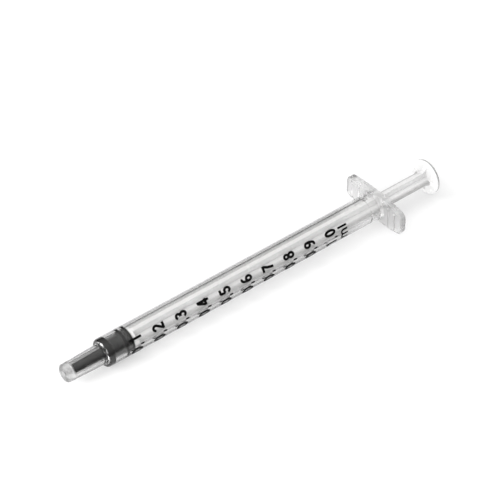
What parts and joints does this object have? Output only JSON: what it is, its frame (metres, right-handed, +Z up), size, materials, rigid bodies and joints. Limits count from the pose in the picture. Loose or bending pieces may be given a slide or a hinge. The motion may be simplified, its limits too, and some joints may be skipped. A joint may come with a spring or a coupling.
{
  "type": "luer slip syringe",
  "caption": "Clear fine-dosage syringe with a plain tapered nose, ribbed finger flange, black rubber stopper with a nose pin and a cross-vaned plunger rod that slides.",
  "frame": {"origin": "centre of the bounding box at its base, on the surface that the syringe lies on", "axes": "+X from the nose to the thumb rest, +Y across the finger flange, +Z up; the syringe's own axis rises by 0.6 degrees towards the thumb rest"},
  "size_m": [0.0968, 0.018, 0.0081],
  "materials": {
    "barrel": "clear moulded polypropylene",
    "stopper": "smooth black rubber, lightly oiled",
    "plunger_rod": "natural moulded polypropylene",
    "print": "black printing ink"
  },
  "bodies": {
    "barrel": {"barrel": "barrel"},
    "plunger": {"plunger_rod": "plunger_rod", "stopper": "stopper"}
  },
  "joints": [
    {"name": "plunger_slide", "type": "slide", "parent": "barrel", "child": "plunger", "axis": [0.9999, 0, 0.0107], "range_m": [0, 0.062]}
  ]
}
